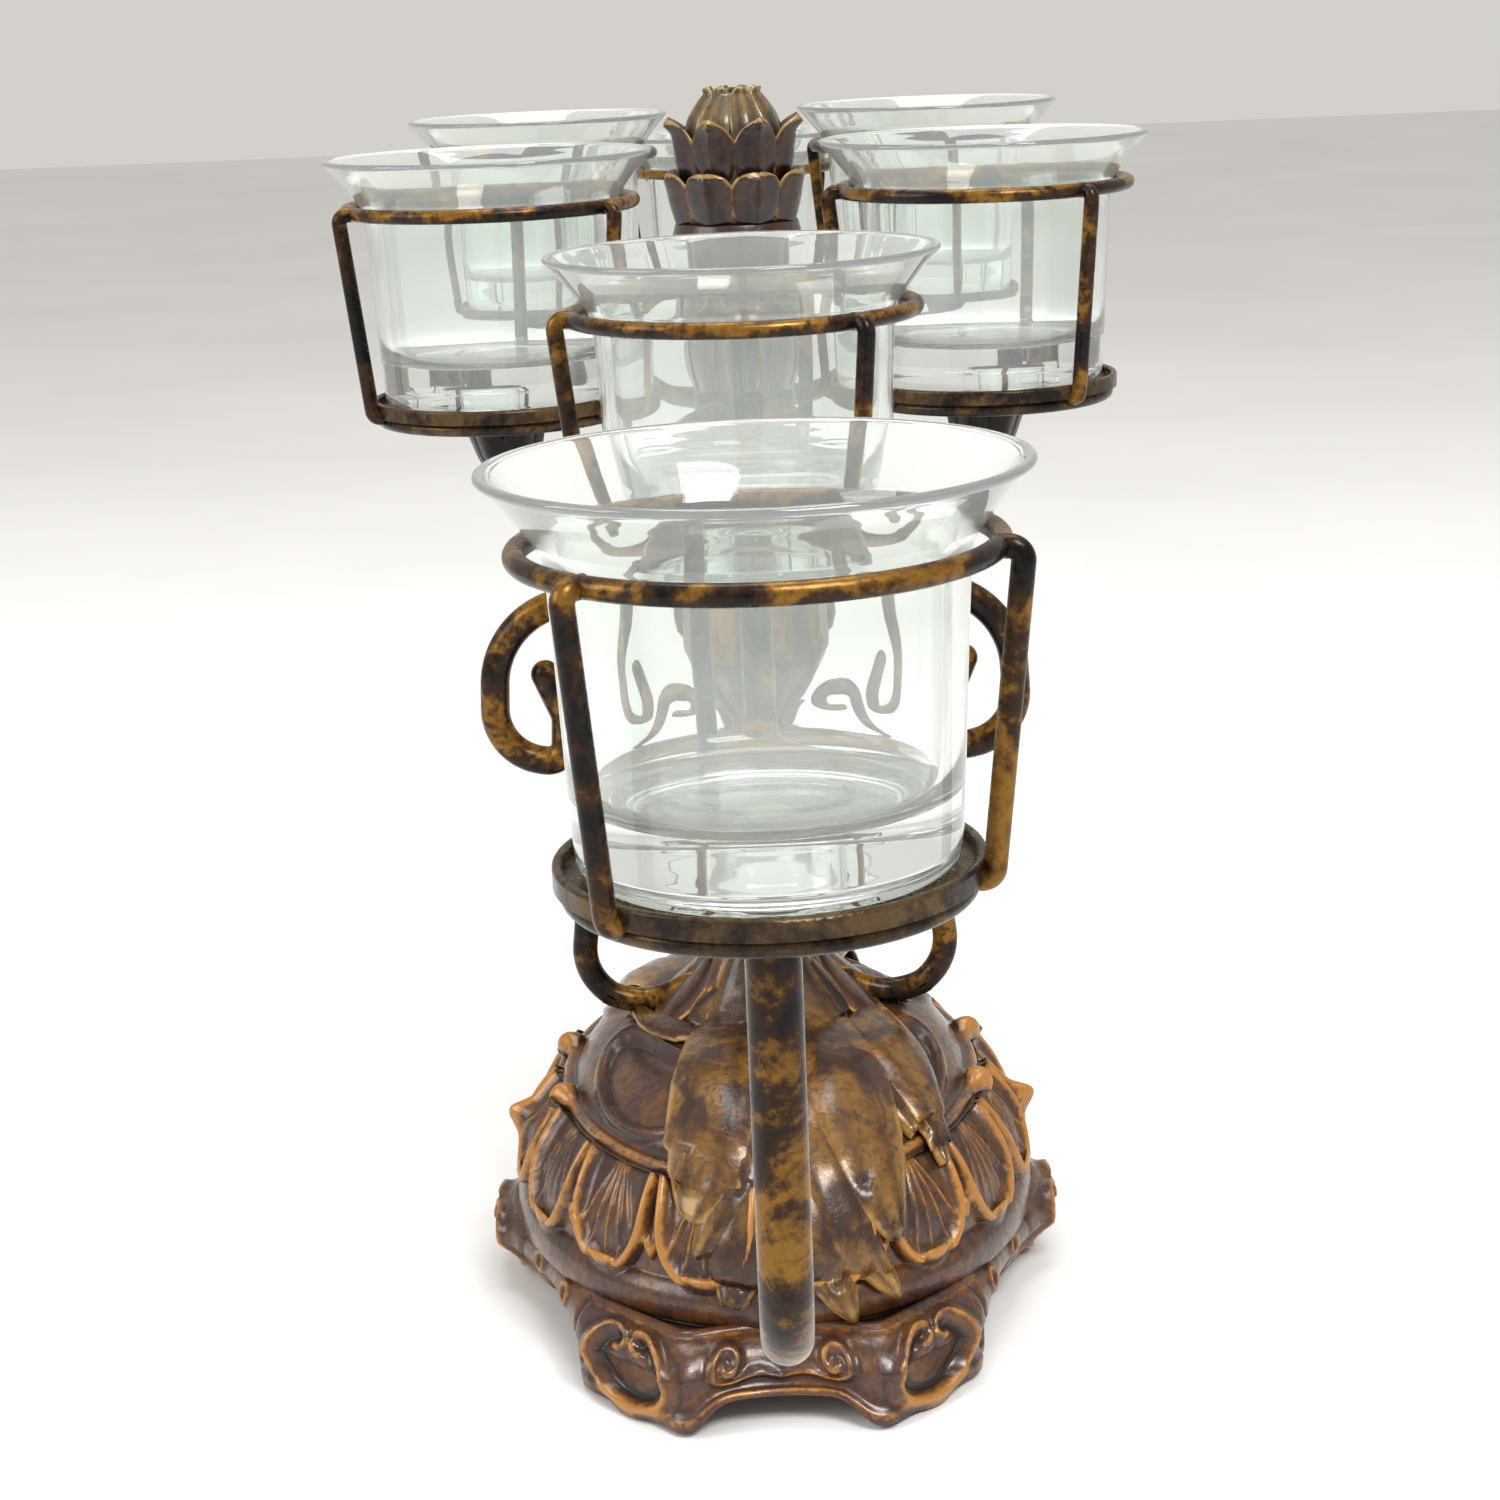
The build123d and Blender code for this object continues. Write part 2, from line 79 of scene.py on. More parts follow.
def arc_points(p, q, r, count):
    """Points along the circular arc from p through q to r, without the last one."""
    p, q, r = (np.array(v, float) for v in (p, q, r))
    a, b = q - p, r - p
    d = 2 * (a[0] * b[1] - a[1] * b[0])
    if abs(d) < 1e-9:
        return p + (r - p) * np.linspace(0, 1, count, endpoint=False)[:, None]
    u = np.array([b[1] * a.dot(a) - a[1] * b.dot(b), a[0] * b.dot(b) - b[0] * a.dot(a)]) / d
    centre = p + u
    radius = np.hypot(*u)
    angles = np.unwrap([math.atan2(*(v - centre)[::-1]) for v in (p, q)])
    start, middle = angles
    end = math.atan2(*(r - centre)[::-1])
    turn = 1 if middle > start else -1
    while (end - start) * turn < 0:
        end += TAU * turn
    t = np.linspace(start, end, count, endpoint=False)
    return centre + radius * np.stack([np.cos(t), np.sin(t)], -1)


def distance_to(u, v, curve):
    """Distance from each (u, v) to the nearest of the curve's points."""
    best = np.full(u.shape, 1e9)
    for x, y in curve:
        best = np.minimum(best, (u - x) ** 2 + (v - y) ** 2)
    return np.sqrt(best)


def spiral(cx, cy, r0, r1, start, end, count):
    """Points of a spiral about (cx, cy) from radius r0 to r1, between two angles in degrees."""
    t = np.linspace(0, 1, count)
    a = np.radians(start + (end - start) * t)
    r = r0 + (r1 - r0) * t
    return np.stack([cx + r * np.cos(a), cy + r * np.sin(a)], -1)


def curve_through(points, count):
    """Smooth curve through points (uniform Catmull-Rom), sampled count times for each span."""
    p = np.array([points[0], *points, points[-1]], float)
    out = []
    for i in range(1, len(p) - 2):
        t = np.linspace(0, 1, count, endpoint=False)[:, None]
        a, b, c, d = p[i - 1:i + 3]
        linear = (c - a) * t
        square = (2 * a - 5 * b + 4 * c - d) * t**2
        cube = (3 * b - a - 3 * c + d) * t**3
        out.append(0.5 * (2 * b + linear + square + cube))
    out.append(p[-2][None])
    return np.vstack(out)


# ---- meshes -----------------------------------------------------------------
def mesh_piece(name, verts, faces, values, material, body, slot, nodes=()):
    """A smooth-shaded piece, verts in mm, with one float attribute for each entry of values."""
    mesh = bpy.data.meshes.new(name)
    mesh.from_pydata((np.asarray(verts) * MM).tolist(), [], faces)
    for key, data in values.items():
        layer = mesh.attributes.new(key, "FLOAT", "POINT")
        layer.data.foreach_set("value", np.ascontiguousarray(data, np.float32).ravel())
    mesh.shade_smooth()
    mesh.materials.append(material)
    obj = link(bpy.data.objects.new(name, mesh))
    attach(obj, body)
    if nodes:
        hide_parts(*nodes)
    return obj


def grid_faces(rows, cols):
    """Quads of a grid whose last column joins its first."""
    i = np.arange(rows - 1)[:, None] * cols
    j = np.arange(cols)[None, :]
    k = (j + 1) % cols
    quads = np.stack([i + j, i + k, i + k + cols, i + j + cols], -1)
    return quads.reshape(-1, 4).tolist()


def closed_grid(points, values):
    """Verts, faces and values of a tube-like grid, rows from bottom to top, with both ends capped."""
    rows, cols = points.shape[:2]
    verts = np.vstack([points.reshape(-1, 3), points[0].mean(0), points[-1].mean(0)])
    faces = grid_faces(rows, cols)
    low, high = rows * cols, rows * cols + 1
    top = (rows - 1) * cols
    for j in range(cols):
        k = (j + 1) % cols
        faces.append([low, k, j])
        faces.append([high, top + j, top + k])
    out = {}
    for key, data in values.items():
        flat = np.asarray(data, float).reshape(-1)
        out[key] = np.concatenate([flat, [data[0].mean(), data[-1].mean()]])
    return verts, faces, out


def normals_of(points):
    """Outward normals of a wrapped grid."""
    du = np.roll(points, -1, 1) - np.roll(points, 1, 1)
    dv = np.gradient(points, axis=0)
    n = np.cross(du, dv)
    length = np.linalg.norm(n, axis=-1, keepdims=True)
    return n / np.maximum(length, 1e-9)


class Parts:
    """Gathers several closed shells into one mesh."""

    def __init__(self):
        self.verts, self.faces, self.values, self.count = [], [], {}, 0

    def add(self, verts, faces, values):
        self.verts.append(np.asarray(verts))
        self.faces += [[i + self.count for i in f] for f in faces]
        for key, data in values.items():
            self.values.setdefault(key, []).append(np.asarray(data, float).reshape(-1))
        self.count += len(verts)

    def piece(self, name, material, body, slot, nodes=()):
        values = {key: np.concatenate(data) for key, data in self.values.items()}
        return mesh_piece(name, np.vstack(self.verts), self.faces, values, material, body, slot, nodes)


# ---- materials --------------------------------------------------------------
class Nodes:
    """A short way to write a node tree."""

    def __init__(self, name):
        self.material = bpy.data.materials.new(name)
        self.material.use_nodes = True
        self.tree = self.material.node_tree
        self.shader = self.tree.nodes["Principled BSDF"]

    def new(self, kind, **settings):
        node = self.tree.nodes.new("ShaderNode" + kind)
        for key, value in settings.items():
            setattr(node, key, value)
        return node

    def link(self, source, target):
        self.tree.links.new(source, target)

    def place(self):
        return self.new("TexCoord").outputs["Object"]

    def noise(self, where, scale, detail, rough=0.55, distortion=0.0):
        node = self.new("TexNoise")
        node.inputs["Scale"].default_value = scale
        node.inputs["Detail"].default_value = detail
        node.inputs["Roughness"].default_value = rough
        node.inputs["Distortion"].default_value = distortion
        self.link(where, node.inputs["Vector"])
        return node.outputs["Fac"]

    def ramp(self, value, stops):
        node = self.new("ValToRGB")
        ramp = node.color_ramp
        while len(ramp.elements) < len(stops):
            ramp.elements.new(0.5)
        for element, (at, colour) in zip(ramp.elements, stops):
            element.position = at
            element.color = (*colour, 1)
        self.link(value, node.inputs["Fac"])
        return node.outputs["Color"]

    def range(self, value, low, high, to_low=0.0, to_high=1.0):
        node = self.new("MapRange")
        for key, number in (("From Min", low), ("From Max", high), ("To Min", to_low), ("To Max", to_high)):
            node.inputs[key].default_value = number
        self.link(value, node.inputs["Value"])
        return node.outputs["Result"]

    def maths(self, operation, a, b):
        node = self.new("Math", operation=operation)
        for socket, item in zip(node.inputs, (a, b)):
            if isinstance(item, (int, float)):
                socket.default_value = item
            else:
                self.link(item, socket)
        return node.outputs["Value"]

    def mix(self, factor, a, b):
        """Colour between a and b; sockets 0, 6 and 7 are the Mix node's factor and colours."""
        node = self.new("Mix", data_type="RGBA")
        for index, item in ((0, factor), (6, a), (7, b)):
            socket = node.inputs[index]
            if isinstance(item, (tuple, int, float)):
                socket.default_value = (*item, 1) if isinstance(item, tuple) else item
            else:
                self.link(item, socket)
        return node.outputs[2]

    def attribute(self, name):
        return self.new("Attribute", attribute_name=name).outputs["Fac"]

    def bump(self, height, strength, distance):
        node = self.new("Bump")
        node.inputs["Strength"].default_value = strength
        node.inputs["Distance"].default_value = distance
        self.link(height, node.inputs["Height"])
        self.link(node.outputs["Normal"], self.shader.inputs["Normal"])

    def set(self, **values):
        for key, value in values.items():
            socket = self.shader.inputs[key.replace("_", " ")]
            if isinstance(value, (int, float, tuple)):
                socket.default_value = value
            else:
                self.link(value, socket)
        return self.material


def srgb(r, g, b):
    """Linear colour from 0-255 display values."""
    return tuple(((c / 255 + 0.055) / 1.055) ** 2.4 if c > 10 else c / 255 / 12.92 for c in (r, g, b))


def bronze(name, dark, brown, gold, patch, bias=0.0):
    """Near-black brown lacquer with golden patches wiped through it, with painted shade and light: blackest
    on faces that look down, more gold on faces that look up.
    patch is the noise scale of the patches, and a higher bias leaves less gold."""
    n = Nodes(name)
    where = n.place()
    patches = n.noise(where, patch, 6.0, 0.62, 0.8)
    speckle = n.noise(where, patch * 9, 3.0, 0.6)
    # Painted shade and light: the normal's height pushes faces that look down toward the dark colour and
    # faces that look up toward gold.
    facing = n.new("SeparateXYZ")
    n.link(n.new("TexCoord").outputs["Normal"], facing.inputs["Vector"])
    above = n.range(facing.outputs["Z"], -0.7, 0.9, -0.05, 0.05)
    level = n.maths("ADD", n.maths("MULTIPLY", patches, 0.80), n.maths("MULTIPLY", speckle, 0.20))
    level = n.maths("ADD", level, above)
    stops = [(0.42 + bias, dark), (0.50 + bias, brown), (0.57 + bias, gold), (0.68 + bias, brown)]
    colour = n.ramp(level, stops)
    n.bump(speckle, 0.3, 0.0003)
    rough = n.range(speckle, 0.3, 0.7, 0.20, 0.38)
    shine = n.range(level, 0.45 + bias, 0.60 + bias, 0.0, 0.45)
    return n.set(
        Base_Color=colour,
        Roughness=rough,
        Metallic=shine,
        Specular_IOR_Level=0.14,
        Coat_Weight=0.06,
        Coat_Roughness=0.12,
    )


def antiqued(name, dark_speckle_and_shade, body, warm, gold, gold_from=0.35):
    """Painted casting: mottled brown with dark speckle, gold rubbed on raised edges, and painted shade in
    its recesses. gild and the painted shade are the surface's own attributes from 0 to 1."""
    n = Nodes(name)
    where = n.place()
    cloud = n.noise(where, 60.0, 6.0, 0.62, 0.6)
    speckle = n.noise(where, 460.0, 3.0, 0.65)
    base = n.mix(n.range(cloud, 0.44, 0.56), body, warm)
    base = n.mix(n.range(speckle, 0.42, 0.72, 0.0, 0.75), base, dark_speckle_and_shade)
    wear = n.maths("MULTIPLY", n.attribute("gild"), n.range(cloud, 0.25, 0.60, 0.55, 1.25))
    wear = n.maths("ADD", wear, n.maths("MULTIPLY", n.range(speckle, 0.35, 0.65, -0.5, 0.5), 0.30))
    gilded = n.mix(n.range(wear, gold_from, gold_from + 0.45), base, gold)
    # Painted shade: pulls the colour toward the dark colour in recesses, grooves, hollows and along edges.
    dirt = n.range(n.attribute("dirt"), 0.1, 0.9)
    colour = n.mix(dirt, gilded, dark_speckle_and_shade)
    n.bump(n.maths("ADD", cloud, n.maths("MULTIPLY", speckle, 0.35)), 0.45, 0.0009)
    rough = n.range(speckle, 0.3, 0.7, 0.22, 0.42)
    return n.set(
        Base_Color=colour,
        Roughness=rough,
        Metallic=0.15,
        Specular_IOR_Level=0.4,
        Coat_Weight=0.3,
        Coat_Roughness=0.15,
    )


def glass_material():
    n = Nodes("clear_glass")
    ripple = n.noise(n.place(), 70.0, 2.0, 0.5)
    n.bump(ripple, 0.05, 0.0003)
    return n.set(
        Base_Color=(0.945, 0.985, 0.962, 1),
        Roughness=0.0,
        IOR=1.44,
        Transmission_Weight=0.90,
    )


def steel_material():
    n = Nodes("dull_steel")
    brushed = n.noise(n.place(), 300.0, 3.0, 0.6)
    colour = n.ramp(brushed, [(0.3, srgb(120, 112, 100)), (0.7, srgb(176, 168, 155))])
    n.bump(brushed, 0.1, 0.0002)
    return n.set(Base_Color=colour, Roughness=n.range(brushed, 0.3, 0.7, 0.3, 0.5), Metallic=0.9)


def felt_material():
    n = Nodes("black_felt")
    fuzz = n.noise(n.place(), 900.0, 4.0, 0.7)
    colour = n.ramp(fuzz, [(0.3, srgb(16, 15, 15)), (0.7, srgb(46, 42, 40))])
    n.bump(fuzz, 0.7, 0.0005)
    return n.set(Base_Color=colour, Roughness=0.95, Sheen_Weight=0.4)


ROD = bronze("mottled_bronze", srgb(11, 8, 6), srgb(52, 32, 15), srgb(124, 88, 32), 52.0)
PAN = bronze("pan_bronze", srgb(22, 17, 14), srgb(58, 44, 29), srgb(84, 66, 42), 80.0)
DARK = bronze("dark_bronze", srgb(10, 9, 8), srgb(24, 19, 14), srgb(58, 44, 26), 90.0, 0.08)
RESIN = antiqued("antiqued_resin", srgb(25, 15, 12), srgb(72, 47, 41), srgb(98, 62, 32), srgb(164, 112, 48))
BUD = antiqued("dark_resin", srgb(16, 10, 9), srgb(46, 25, 22), srgb(62, 37, 25), srgb(134, 106, 58), 0.5)
LEAF_GOLD = antiqued(
    "gilded_leaf", srgb(34, 20, 13), srgb(68, 42, 28), srgb(132, 92, 34), srgb(158, 120, 62), 0.45
)
TIP_GREEN = antiqued(
    "bud_resin", srgb(40, 30, 20), srgb(92, 80, 54), srgb(112, 88, 52), srgb(136, 120, 74), 0.45
)
GLASS = glass_material()
STEEL = steel_material()
FELT = felt_material()

# ---- base: outline of the lobed foot, then rings up to the dome's top -------
base_low, base_high = box_mm("base_casting")
HALF_X, HALF_Y = base_high[0], base_high[1]
DOME_TOP = base_high[2]
RUN = 64
LOBE_Y = 21.0
RUN_NAMES = ["lobe", "waist", "foot", "bay", "foot", "waist"] * 2
OVAL_HALF_X, OVAL_HALF_Y = 76, 100
WAIST_ARCH = 6.0
BAY_ARCH = 7.0


def plan_of(side, waist, foot, toe, bay):
    """Lobed plan of the base, anticlockwise from the right side lobe, RUN points to each of 12 runs."""
    lobe = (side - 7, LOBE_Y)
    hollow = (waist, (LOBE_Y + foot[1]) / 2)

    def mirrored(p):
        return (-p[0], p[1])

    half = [
        arc_points((lobe[0], -LOBE_Y), (side, 0), lobe, RUN),
        arc_points(lobe, hollow, foot, RUN),
        arc_points(foot, np.add(foot, toe) / 2, toe, RUN),
        arc_points(toe, (0, bay), mirrored(toe), RUN),
        arc_points(mirrored(toe), np.add(mirrored(foot), mirrored(toe)) / 2, mirrored(foot), RUN),
        arc_points(mirrored(foot), mirrored(hollow), mirrored(lobe), RUN),
    ]
    half = np.vstack(half)
    return soften(np.vstack([half, -half]), 7)


def soften(ring, width):
    """Rounds a closed ring's corners by averaging each point with its neighbours."""
    total = sum(np.roll(ring, k, 0) for k in range(-width, width + 1))
    return total / (2 * width + 1)


PLAN_FLOOR = plan_of(HALF_X - 10, 56, (53, 81), (25, HALF_Y), 104)
PLAN_WIDE = plan_of(HALF_X, 60, (54, 81), (26, HALF_Y - 3), 100)
PLAN_TOP = plan_of(HALF_X - 5, 59, (48, 74), (25, HALF_Y - 14), 92)
PHI = np.unwrap(np.arctan2(PLAN_WIDE[:, 1] / OVAL_HALF_Y, PLAN_WIDE[:, 0] / OVAL_HALF_X))


def oval(a, b):
    return np.stack([a * np.cos(PHI), b * np.sin(PHI)], -1)


def run_coordinate():
    """Distance in mm of each column from the middle of its run, and the run's name."""
    step = np.linalg.norm(np.roll(PLAN_WIDE, -1, 0) - PLAN_WIDE, axis=1)
    along = np.zeros(len(PHI))
    for k in range(len(RUN_NAMES)):
        part = slice(k * RUN, (k + 1) * RUN)
        travelled = np.cumsum(step[part]) - step[part] / 2
        along[part] = travelled - travelled[-1] / 2
    return along, np.repeat(RUN_NAMES, RUN)


ALONG, NAMES = run_coordinate()


def edge_height():
    """Height of the base's lower edge: down on the six feet, arched between them."""
    lift = np.zeros(len(PHI))
    half_waist, half_bay = 29.0, 27.0
    lift += np.where(NAMES == "waist", WAIST_ARCH * smooth(half_waist, half_waist - 10, abs(ALONG)), 0)
    lift += np.where(NAMES == "bay", BAY_ARCH * smooth(half_bay, half_bay - 12, abs(ALONG)), 0)
    return base_low[2] + soften(lift[:, None], 4)[:, 0]


def ring(plan, z):
    return np.concatenate([plan, np.broadcast_to(np.asarray(z, float), len(plan))[:, None]], 1)


def base_rings():
    """Key rings of the base with the rows to reach each one, and how far that band bulges."""
    edge = edge_height()
    return [
        (ring(PLAN_FLOOR * 0.80, edge + 3), 0, 0),
        (ring(PLAN_FLOOR * 0.97, edge), 4, 0),
        (ring(PLAN_FLOOR, edge + 1.2), 3, 0.3),
        (ring(PLAN_WIDE, 14), 26, -1.2),
        (ring(PLAN_TOP, 21.5), 18, 1.5),
        (ring(PLAN_TOP * 0.975, 22.6), 5, 0.4),
        (ring(oval(72.0, 91.0), 20.5), 6, -0.6),
        (ring(oval(73.5, 93.5), 23.5), 6, 0.5),
        (ring(oval(69.5, 90.5), 32.5), 16, 1.6),
        (ring(oval(58.5, 82.0), 55.5), 60, 2.6),
        (ring(oval(58.0, 81.5), 58.0), 6, 0.3),
        (ring(oval(55.5, 79.0), 59.0), 6, 0.3),
        (ring(oval(25.5, 32.5), DOME_TOP), 60, 5.5),
    ]


def build_surface(keys):
    """Rows of points from the key rings; bulge lifts a band's middle along its normal."""
    rows, levels = [keys[0][0]], [0.0]
    for index in range(1, len(keys)):
        target, count, bulge = keys[index]
        start = keys[index - 1][0]
        across = target - start
        around = np.roll(start, -1, 0) - np.roll(start, 1, 0)
        normal = np.cross(around, across)
        normal /= np.maximum(np.linalg.norm(normal, axis=1, keepdims=True), 1e-9)
        for step in range(1, count + 1):
            t = step / count
            rows.append(start + across * t + normal * (4 * bulge * t * (1 - t)))
            levels.append(index - 1 + t)
    return np.array(rows), np.array(levels)


SURFACE, LEVELS = build_surface(base_rings())
# Bands of ornament, by level: a whole level is a key ring, counted from the floor.
APRON, PETALS, DOME = (2.0, 4.0), (7.3, 9.0), (11.0, 12.0)
APRON_MM_PER_LEVEL = 10.5
# Places on the apron in mm: up from its lower edge, and along from the middle of a run.
SCROLL_UP = 9.6
DIMPLE_ALONG, DIMPLE_UP, DIMPLE_RADIUS = 12.0, 15.0, 3.0
GROOVE_ALONG = 27.0
STRIP_UP, SHOULDER_UP = 1.6, 20.5
# How far the framed scrolls are stretched along the apron.
LOBE_STRETCH, FOOT_STRETCH = 1.75, 1.60
# Levels of the dome's bead, its two grooves and the apron's inner channel.
BEAD_LEVEL, LOWER_GROOVE, UPPER_GROOVE, CHANNEL_LEVEL = 10.1, 9.0, 11.05, 6.0


def band_mask(band):
    return ((LEVELS >= band[0]) & (LEVELS <= band[1]))[:, None]


def apron_relief():
    """Scrolls on the skirt: a framed C scroll on each foot and lobe, ring dimples, curls in the bays, with
    painted shade in their hollows.
    """
    z = SURFACE[..., 2]
    along = np.broadcast_to(ALONG, z.shape)
    names = np.broadcast_to(NAMES, z.shape)
    height, gild, dirt = (np.zeros(z.shape) for _ in range(3))
    on = band_mask(APRON)
    up = np.where(on, (LEVELS[:, None] - APRON[0]) * APRON_MM_PER_LEVEL, 99)

    scroll = np.vstack([
        spiral(0, SCROLL_UP, 9.0, 9.0, 128, 412, 90),
        spiral(-3.0, 14.4, 3.6, 1.3, 140, -80, 24),
        spiral(3.0, 14.4, 3.6, 1.3, 40, 260, 24),
    ])
    framed = on & ((names == "foot") | (names == "lobe"))
    sideways = along / np.where(names == "lobe", LOBE_STRETCH, FOOT_STRETCH)
    d = distance_to(sideways, up, scroll)
    ridge = bell(d, 1.15)
    centre = np.hypot(sideways, up - SCROLL_UP)
    height += np.where(framed, 2.4 * ridge - 1.4 * smooth(8.0, 6.6, centre), 0)
    gild += np.where(framed, 0.75 * bell(d, 0.8), 0)
    # Painted shade in the scroll's sunk middle and just beside its ridge.
    dirt += np.where(framed, 0.75 * bell(centre - 6.6, 0.9) + 0.6 * bell(d - 2.8, 0.8), 0)

    dimple = np.hypot(abs(along) - DIMPLE_ALONG, up - DIMPLE_UP)
    waist = on & (names == "waist")
    height += np.where(waist, 1.2 * bell(dimple - DIMPLE_RADIUS, 1.0) - 0.6 * bell(dimple, 1.5), 0)
    gild += np.where(waist, 0.8 * bell(dimple - DIMPLE_RADIUS, 0.9), 0)
    # Painted shade in the dimple's middle.
    dirt += np.where(waist, 0.8 * bell(dimple, 1.6), 0)
    groove = bell(abs(along) - GROOVE_ALONG, 1.0)
    height += np.where(waist, -0.8 * groove, 0)
    # Painted shade in the grooves.
    dirt += np.where(waist, 0.7 * groove, 0)

    curl = np.vstack([
        spiral(14.5, 12.5, 5.2, 1.5, -120, 320, 60),
        np.stack([np.linspace(12, 0, 26), 8.0 + 2.0 * np.sin(np.linspace(0, math.pi, 26))], -1),
    ])
    bay = on & (names == "bay")
    d = distance_to(abs(along), up, curl)
    height += np.where(bay, 1.9 * bell(d, 1.3), 0)
    gild += np.where(bay, 0.55 * bell(d, 0.9), 0)
    # Painted shade beside the curl's ridge.
    dirt += np.where(bay, 0.6 * bell(d - 2.4, 0.8), 0)

    strip = bell(up - STRIP_UP, 1.5)
    height += np.where(on, 0.9 * strip, 0)
    gild += np.where(on, 0.55 * strip, 0)
    shoulder = bell(up - SHOULDER_UP, 1.2)
    gild += np.where(on, 0.45 * shoulder, 0)
    return height, gild, dirt


PETAL_COUNT = 16
PETAL_HALF = 14.4
SPEAR_HALF = 6.5
SHOULDER_LEVEL = 8
BELOW_MM_PER_LEVEL = 9.8
ABOVE_MM_PER_LEVEL = 25.5


def hanging_leaf(local, up, half_width, tip, length, lift, pointed):
    """Height, cover, gold and painted shade of one leaf that hangs to tip; local is the distance from its
    middle.
    """
    if pointed:
        outline = np.sin(np.clip((up - tip) / length, 0, 1) * math.pi / 2) ** 0.85
        inside = np.where(up < tip, -2.0, half_width * outline - local)
    else:
        below = np.clip(1 - (up - tip) / length, 0, None)
        inside = half_width * (1 - np.hypot(local / half_width, below))
    cover = smooth(-0.3, 1.3, inside)
    rim = bell(inside - 2.0, 1.35)
    veins = np.zeros(local.shape)
    for fan in (0.0, 0.2, 0.42):
        away = np.clip(30 - up, 0, 30)
        veins += bell(local - fan * away, 0.55) * smooth(tip + 3, tip + 8, up)
    veins = np.clip(veins, 0, 1) * smooth(2.6, 4.4, inside)
    bowl = smooth(2.2, 6.0, inside)
    raised = cover * (lift + 1.5 * rim + 0.6 * veins - 1.5 * bowl)
    # The last value is painted shade in the leaf's sunk bowl, less on its veins.
    return raised, cover, 1.1 * rim + 0.6 * veins, 0.35 * bowl * (1 - veins)


def petal_relief():
    """Petals that hang down the dome's side over the smooth shoulder, with small spears between."""
    rows = band_mask(PETALS)
    above = LEVELS[:, None] - SHOULDER_LEVEL
    up = np.where(above < 0, above * BELOW_MM_PER_LEVEL, above * ABOVE_MM_PER_LEVEL)
    x, y = SURFACE[..., 0], SURFACE[..., 1]
    arc = np.cumsum(np.hypot(np.roll(x, -1, 1) - x, np.roll(y, -1, 1) - y), 1)
    pitch = arc[:, -1:] / PETAL_COUNT
    arc = arc - arc[:, :1]
    across = ((arc / pitch + 0.5) % 1.0 - 0.5) * pitch
    up = np.broadcast_to(up, x.shape)
    height, gild, dirt = (np.zeros(x.shape) for _ in range(3))
    spear = {"half_width": SPEAR_HALF, "tip": 3.0, "length": 15.0, "lift": 0.5, "pointed": True}
    petal = {"half_width": PETAL_HALF, "tip": -3.4, "length": 17.0, "lift": 2.6, "pointed": False}
    for local, shape in ((abs(abs(across) - pitch / 2), spear), (abs(across), petal)):
        raised, cover, gold, dark = hanging_leaf(local, up, **shape)
        height = np.where(cover > 0.02, np.maximum(raised, height * (1 - cover)), height)
        gild = gild * (1 - cover) + cover * gold
        # Painted shade from each leaf's bowl, then a painted shadow along its outline where the edge stands
        # off the dome.
        dirt = np.maximum(dirt * (1 - cover), cover * dark)
        under = bell(cover - 0.12, 0.1)
        dirt = np.maximum(dirt, 0.8 * under)
    return tuple(np.where(rows, item, 0) for item in (height, gild, dirt))


def rim_relief():
    """The dome's rounded lower edge between two grooves, and the apron's inner channel; painted shade
    darkens both grooves and the channel.
    """
    level = LEVELS[:, None]
    ones = np.ones(SURFACE.shape[:2])
    bead = bell(level - BEAD_LEVEL, 0.55) * ones
    groove = bell(level - LOWER_GROOVE, 0.05) + bell(level - UPPER_GROOVE, 0.03)
    channel = bell(level - CHANNEL_LEVEL, 0.5)
    return 1.0 * bead, 0.55 * bead, np.clip((0.8 * groove + channel) * ones, 0, 1)


KNOB_PHI = np.radians([0, 180, 14, 166, 194, 346])
KNOB_LEVEL = np.array([8.45, 8.45, 9.6, 9.6, 9.6, 9.6])
KNOB_HEIGHT, KNOB_WIDTH = 5.0, 3.6
PANEL_PHI = math.radians(43)
PANEL_MIDDLE = 0.40
PANEL_HALF_TURN, PANEL_HALF_RISE = 0.50, 0.30


def dome_relief():
    """Four kidney-shaped sunk panels round the dome, with a raised border to each."""
    rows = band_mask(DOME)
    t = (LEVELS - DOME[0])[:, None]
    side = np.abs(np.arctan2(np.abs(np.sin(PHI)), np.abs(np.cos(PHI))) - PANEL_PHI)[None, :]
    panel = np.hypot(side / PANEL_HALF_TURN, (t - PANEL_MIDDLE - 0.5 * side**2) / PANEL_HALF_RISE)
    sunk = smooth(1.05, 0.84, panel)
    border = bell(panel - 1.08, 0.12)
    height = -1.8 * sunk + 1.5 * border
    # Painted shade just inside each panel's raised border.
    dark = 0.6 * bell(panel - 0.92, 0.10)
    return tuple(np.where(rows, item, 0) for item in (height, 0.35 * border, dark))


def knob_relief():
    """Small bosses on the side lobes and on the dome's edge."""
    height = np.zeros(SURFACE.shape[:2])
    for phi, level in zip(KNOB_PHI, KNOB_LEVEL):
        middle = SURFACE[np.argmin(abs(LEVELS - level)), np.argmin(abs(PHI - phi))]
        away = np.linalg.norm(SURFACE - middle, axis=-1)
        height += KNOB_HEIGHT * bell(away, KNOB_WIDTH)
    return height, height / 9, 0 * height


def make_base():
    reliefs = [apron_relief(), petal_relief(), rim_relief(), dome_relief(), knob_relief()]
    height, gild, dirt = (sum(r[k] for r in reliefs) for k in range(3))
    points = SURFACE + normals_of(SURFACE) * height[..., None]
    # gild is the rubbed gold; the second attribute is painted shade.
    values = {"gild": np.clip(gild, 0, 1), "dirt": np.clip(dirt, 0, 1)}
    shape = closed_grid(points, values)
    mesh_piece("base_shell", *shape, RESIN, RACK, "antiqued_casting", ["base_casting"])


